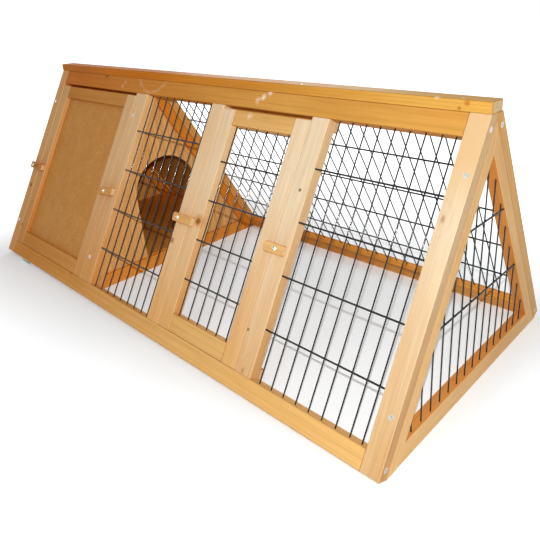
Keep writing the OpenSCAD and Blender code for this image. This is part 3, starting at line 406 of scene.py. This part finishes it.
cap_fir = stained_fir("fir_planed_orange_stain", "#D7A74F", "#B27927", "#C5892F", figure=0.32,
                       closed_end_shade=(0.90, 0.50, 0.03), reach=(0.42, -0.2), side_shade_tint=(1.0, 0.95, 0.95),
                       spots_and_shade=[(Vector((0.5572, -0.0154, 0.4455)), 6 * MM, "#B4682C"),
                              (Vector((0.5465, -0.0154, 0.4377)), 4 * MM, "#8A5424")],
                       scuffs=[(Vector((0.5132, -0.0154, 0.4498)), 0.0, 6 * MM, 0.8)])
fit_timber("ridge_cap_left", cap_fir, ALONG_RUN, DEPTHWAYS, tone=0.93)
fit_timber("ridge_cap_right", cap_fir, ALONG_RUN, DEPTHWAYS)

# ---- Turn buttons ----
# Small fir blocks with rounded corners, one on each side of a door, each held by a round-headed screw.

button_fir = stained_fir("fir_planed_honey_stain_buttons", "#E8B878", "#C48A44", "#D6A05A", figure=0.3,
                         side_shade_tint=(0.9, 0.7, 0.5), arris_tint_and_highlight=("#C98E50", 0.35))
BUTTON_SCREWS = ((18, 231), (379.5, 230), (652, 231), (906.5, 237))
for number, screw_place in enumerate(BUTTON_SCREWS, 1):
    fit_timber(f"turn_button_{number}", button_fir, ALONG_RUN, UP_FRONT, tone=0.97,
               hole=on_front(*screw_place), shortest=0.1 * MM)

# ---- Hardboard sheets ----
# 3.2 mm standard hardboard, pressed from brown wood fibres, so it is speckled and matt.
# It fills the solid door, the rear of the sleeping compartment and the left end.

hardboard, tree, surface = new_material("hardboard_pressed_brown")
place = add_node(tree, "ShaderNodeTexCoord").outputs["Object"]
clumps = add_node(tree, "ShaderNodeTexNoise",
                  {"Vector": place, "Scale": 34.0, "Detail": 5.0, "Roughness": 0.7}).outputs[0]
# Fibre bundles are under a millimetre wide, and are drawn at 2 to 3 mm so that they show
specks = add_node(tree, "ShaderNodeTexNoise",
                  {"Vector": place, "Scale": 260.0, "Detail": 4.0, "Roughness": 0.75}).outputs[0]
board_brown = add_node(tree, "ShaderNodeMix", {0: clumps, 6: colour("#B8772E"), 7: colour("#D89A4C")},
                       data_type="RGBA").outputs[2]
speck_tone = add_node(tree, "ShaderNodeMapRange", {0: specks, 1: 0.32, 2: 0.68, 3: 0.80, 4: 1.15}).outputs[0]
board_brown = add_node(tree, "ShaderNodeMix", {0: 1.0, 6: board_brown, 7: speck_tone},
                       data_type="RGBA", blend_type="MULTIPLY").outputs[2]
bump = add_node(tree, "ShaderNodeBump", {"Strength": 0.3, "Distance": 0.2 * MM, "Height": specks})
tree.links.new(board_brown, surface.inputs["Base Color"])
tree.links.new(bump.outputs[0], surface.inputs["Normal"])
surface.inputs["Roughness"].default_value = 0.6
surface.inputs["Specular IOR Level"].default_value = 0.25


def finish_node(node, finish):
    """Gives a CAD node its finish."""
    for held in frame["nodes"][node].material_slots:
        held.material = finish


for node in ("door_1_panel", "rear_panel", "left_end_panel"):
    finish_node(node, hardboard)

# ---- Welded wire mesh ----
# Mild steel wire, 2.2 mm up the slope and 3 mm along the bay, welded where it crosses, then powder
# coated black with a green cast. The coat is smooth, so a lamp draws glints along the wires.

EDGE_ROOM = 8  # least room between a bay's edge and its first wire
WELD_DEPTH = -4.4  # of the wires' crossings, in millimetres out of the face
BAY_ROWS = 4
FRONT_ROW = 112
FRONT_ROW_PITCH = 87.7
DOOR_ROW = 129.4
DOOR_ROW_PITCH = 74.3
REAR_ROW = 97
REAR_ROW_PITCH = 91.3
END_ROWS = (164, 282)
END_PITCH = 25.5
END_MOST = 7  # more wires than fit on each side of the middle
END_INSET = 20 + 22.5  # a panel and a sloping member, square to the panel's face
# Each bay's edges along the run, then its wires' pitch, last gap and shift off the middle
FRONT_BAYS = {"left": (417, 638), "right": (928.5, 1154.4)}
FRONT_WIRES = (25.3, 20.7, 3.7)
DOOR_BAY = (707.6, 858.2)
DOOR_WIRES = (26.1, 26.1, 1.7)
REAR_BAY = (398, 1154.4)
REAR_WIRES = (26.6, 26.6, 7.4)
wire, tree, surface = new_material("steel_wire_black_powder_coat")
place = add_node(tree, "ShaderNodeTexCoord").outputs["Object"]
grime = add_node(tree, "ShaderNodeTexNoise",
                 {"Vector": place, "Scale": 60.0, "Detail": 4.0, "Roughness": 0.6}).outputs[0]
coat = add_node(tree, "ShaderNodeMix", {0: grime, 6: colour("#0A0E0D"), 7: colour("#151B19")},
                data_type="RGBA").outputs[2]
shine = add_node(tree, "ShaderNodeMapRange", {0: grime, 1: 0.3, 2: 0.7, 3: 0.10, 4: 0.16}).outputs[0]
tree.links.new(coat, surface.inputs["Base Color"])
tree.links.new(shine, surface.inputs["Roughness"])
surface.inputs["Specular IOR Level"].default_value = 0.34


def spaced(start, end, pitch, last_gap, shift):
    """Places of a bay's upright wires, in millimetres. The last gap can be narrower."""
    gaps = int((end - start - 2 * EDGE_ROOM) // pitch)
    first = (start + end - (gaps - 1) * pitch - last_gap) / 2 + shift
    return [first + i * pitch for i in range(gaps)] + [first + (gaps - 1) * pitch + last_gap]


def weld(name, body, points, out):
    """Flat beads of melted steel where the wires cross."""
    beads = bmesh.new()
    for point in points:
        tilt = Vector((0, 0, 1)).rotation_difference(out).to_matrix().to_4x4()
        spot = Matrix.Translation(point) @ tilt @ Matrix.Diagonal((1.0, 1.0, 0.55, 1.0))
        bmesh.ops.create_icosphere(beads, subdivisions=2, radius=2.0 * MM, matrix=spot)
    mesh = bpy.data.meshes.new(name)
    beads.to_mesh(mesh)
    beads.free()
    for face in mesh.polygons:
        face.use_smooth = True
    mesh.materials.append(wire)
    piece = bpy.data.objects.new(name, mesh)
    bpy.context.scene.collection.objects.link(piece)
    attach(piece, body)


def crossings(columns, row, row_pitch):
    """Where the upright wires of a bay cross its long ones, on the front panel."""
    return [on_front(u, row + row_pitch * i, WELD_DEPTH) for u in columns for i in range(BAY_ROWS)]


for name, edges in FRONT_BAYS.items():
    columns = spaced(*edges, *FRONT_WIRES)
    finish_node(f"front_mesh_{name}", wire)
    weld(f"front_mesh_{name}_welds", "root", crossings(columns, FRONT_ROW, FRONT_ROW_PITCH), OUT_FRONT)
finish_node("door_2_mesh", wire)
weld("door_2_mesh_welds", "door_2",
     crossings(spaced(*DOOR_BAY, *DOOR_WIRES), DOOR_ROW, DOOR_ROW_PITCH), OUT_FRONT)
finish_node("rear_mesh", wire)
rear_places = crossings(spaced(*REAR_BAY, *REAR_WIRES), REAR_ROW, REAR_ROW_PITCH)
weld("rear_mesh_welds", "root", [Vector((p.x, -p.y, p.z)) for p in rear_places], OUT_REAR)
finish_node("right_end_mesh", wire)
end_rise = END_INSET / math.cos(LEAN)  # the same, measured straight up
end_places = [
    Vector((RUN / 2 + WELD_DEPTH * MM, i * END_PITCH * MM, z * MM))
    for z in END_ROWS for i in range(-END_MOST, END_MOST + 1)
    if abs(i * END_PITCH) < BASE / 2 / MM - (z - PANEL_FOOT / MM + end_rise) / math.tan(LEAN)
]
weld("right_end_mesh_welds", "root", end_places, ALONG_RUN)

# ---- Screws and nails ----
# Bright zinc-plated steel screws with cross recesses, and wire nails in the ridge cap.

zinc, tree, surface = new_material("steel_bright_zinc_plate")
place = add_node(tree, "ShaderNodeTexCoord").outputs["Object"]
mottle = add_node(tree, "ShaderNodeTexNoise",
                  {"Vector": place, "Scale": 700.0, "Detail": 3.0, "Roughness": 0.6}).outputs[0]
plate = add_node(tree, "ShaderNodeMix", {0: mottle, 6: colour("#B4B3AC"), 7: colour("#E6E6E2")},
                 data_type="RGBA").outputs[2]
shine = add_node(tree, "ShaderNodeMapRange", {0: mottle, 1: 0.3, 2: 0.7, 3: 0.22, 4: 0.42}).outputs[0]
tree.links.new(plate, surface.inputs["Base Color"])
tree.links.new(shine, surface.inputs["Roughness"])
surface.inputs["Metallic"].default_value = 1.0
for node in ("door_1_screws", "door_2_screws", "turn_button_screws", "panel_screws", "frame_screws",
             "stop_and_cleat_screws", "cap_nails"):
    finish_node(node, zinc)

# ---- Ground clips ----
# Folded strips of galvanised steel under the bottom rails, with the spangle of hot-dipped zinc.

galvanised, tree, surface = new_material("steel_hot_dip_galvanised")
place = add_node(tree, "ShaderNodeTexCoord").outputs["Object"]
spangle = add_node(tree, "ShaderNodeTexVoronoi", {"Vector": place, "Scale": 260.0}).outputs["Color"]
grey = add_node(tree, "ShaderNodeMix", {0: spangle, 6: colour("#8C9388"), 7: colour("#B8BEB2")},
                data_type="RGBA").outputs[2]
tree.links.new(grey, surface.inputs["Base Color"])
surface.inputs["Metallic"].default_value = 1.0
surface.inputs["Roughness"].default_value = 0.45
finish_node("ground_clips", galvanised)

# ---- Studio ----
# A pale floor whose glow is weaker near the run, painting shade around and under it, a white background, a
# small bare lamp above the camera, two large soft lamps above and behind the run, and the camera.

def seen_straight(tree):
    """1 for what the camera sees, also in a gloss or through glass, and 0 for light on the run."""
    ray = add_node(tree, "ShaderNodeLightPath").outputs
    seen = add_node(tree, "ShaderNodeMath", {0: ray["Is Camera Ray"], 1: ray["Is Glossy Ray"]},
                    operation="MAXIMUM").outputs[0]
    return add_node(tree, "ShaderNodeMath", {0: seen, 1: ray["Is Transmission Ray"]},
                    operation="MAXIMUM").outputs[0]


GLOW_REACH = 0.45  # from the run's outline to where the floor is as white as the background
floor_mesh = bpy.data.meshes.new("studio_floor")
ground = bmesh.new()
bmesh.ops.create_grid(ground, x_segments=1, y_segments=1, size=12)
ground.to_mesh(floor_mesh)
ground.free()
studio_floor = bpy.data.objects.new("studio_floor", floor_mesh)
bpy.context.scene.collection.objects.link(studio_floor)
paper, tree, surface = new_material("studio_paper_white")
surface.inputs["Base Color"].default_value = (0.79, 0.82, 0.84, 1)
surface.inputs["Roughness"].default_value = 0.9
surface.inputs["Specular IOR Level"].default_value = 0.1
surface.inputs["Emission Color"].default_value = (1, 1, 1, 1)
seen = seen_straight(tree)
place = add_node(tree, "ShaderNodeTexCoord").outputs["Object"]
spread = add_node(tree, "ShaderNodeVectorMath", {0: place}, operation="ABSOLUTE").outputs[0]
beside = add_node(tree, "ShaderNodeVectorMath", {0: spread, 1: (RUN / 2, BASE / 2, 0)}, operation="SUBTRACT")
beside = add_node(tree, "ShaderNodeSeparateXYZ", {0: beside.outputs[0]}).outputs
outside = add_node(tree, "ShaderNodeMath", {0: beside[0], 1: beside[1]}, operation="MAXIMUM").outputs[0]
# Painted shade: the glow is weaker near and under the run, so the floor is greyer there
glow_with_painted_shade = add_node(tree, "ShaderNodeMapRange", {0: outside, 1: 0.0, 2: GLOW_REACH, 3: 0.17, 4: 1.0}).outputs[0]
lift = add_node(tree, "ShaderNodeMath", {0: seen, 1: glow_with_painted_shade}, operation="MULTIPLY")
tree.links.new(lift.outputs[0], surface.inputs["Emission Strength"])
floor_mesh.materials.append(paper)

world = bpy.data.worlds.new("studio_world")
bpy.context.scene.world = world
world.use_nodes = True
tree = world.node_tree
backdrop = tree.nodes["Background"]
seen = seen_straight(tree)
level = add_node(tree, "ShaderNodeMapRange", {0: seen, 1: 0.0, 2: 1.0, 3: 0.30, 4: 1.0}).outputs[0]
tree.links.new(level, backdrop.inputs["Strength"])
backdrop.inputs["Color"].default_value = (1, 1, 1, 1)


def soft_lamp(name, place, target, size, power):
    """A square lamp that faces a point."""
    data = bpy.data.lights.new(name, "AREA")
    data.size = size
    data.energy = power
    made = bpy.data.objects.new(name, data)
    made.location = place
    made.rotation_mode = "QUATERNION"
    made.rotation_quaternion = (Vector(target) - Vector(place)).to_track_quat("-Z", "Y")
    made.visible_camera = False
    bpy.context.scene.collection.objects.link(made)


soft_lamp("top_lamp", (0.5, -1.0, 2.6), (0.0, 0.0, 0.2), 1.8, 8)
soft_lamp("back_lamp", (-1.3, 1.5, 1.4), (0.0, 0.0, 0.2), 1.2, 14)

# The small lamp's light falls off linearly with distance. A real lamp's falls off with its square,
# but this comes nearer to the photograph's level at the far end. Its place was chosen.
FLASH_PLACE = Vector((0.8778, -0.6580, 0.6229))
flash_data = bpy.data.lights.new("flash_lamp", "POINT")
flash_data.shadow_soft_size = 0.005
flash_data.energy = 28.8
flash_data.use_nodes = True
tree = flash_data.node_tree
falloff = add_node(tree, "ShaderNodeLightFalloff", {"Strength": 1.0})
tree.links.new(falloff.outputs["Linear"], tree.nodes["Emission"].inputs["Strength"])
flash_lamp = bpy.data.objects.new("flash_lamp", flash_data)
flash_lamp.location = FLASH_PLACE
bpy.context.scene.collection.objects.link(flash_lamp)

# The camera stands before the right end, a little above the ridge, where the photograph's
# perspective puts it when the run is taken to be 1185 mm long
FOCAL = 541.5  # in pixels of the photograph, as are the next three
PHOTO_SIZE = 540
AXIS_ACROSS = 315.69
AXIS_DOWN = 230.61
SENSOR = 36
CAMERA_PLACE = Vector((0.8856, -0.6773, 0.5771))
camera_data = bpy.data.cameras.new("camera")
camera_data.sensor_width = SENSOR
camera_data.lens = FOCAL / PHOTO_SIZE * SENSOR
camera_data.shift_x = -(AXIS_ACROSS - PHOTO_SIZE / 2) / PHOTO_SIZE
camera_data.shift_y = (AXIS_DOWN - PHOTO_SIZE / 2) / PHOTO_SIZE
camera_data.clip_start = 0.05
camera = bpy.data.objects.new("camera", camera_data)
right = Vector((0.748301, 0.662024, -0.042072))
down = Vector((0.231007, -0.319515, -0.918992))
forward = Vector((-0.621837, 0.677963, -0.392025))
facing = Matrix((right, -down, -forward)).transposed().to_4x4()
camera.matrix_world = Matrix.Translation(CAMERA_PLACE) @ facing
bpy.context.scene.collection.objects.link(camera)
bpy.context.scene.camera = camera
bpy.context.scene.view_settings.view_transform = "Standard"
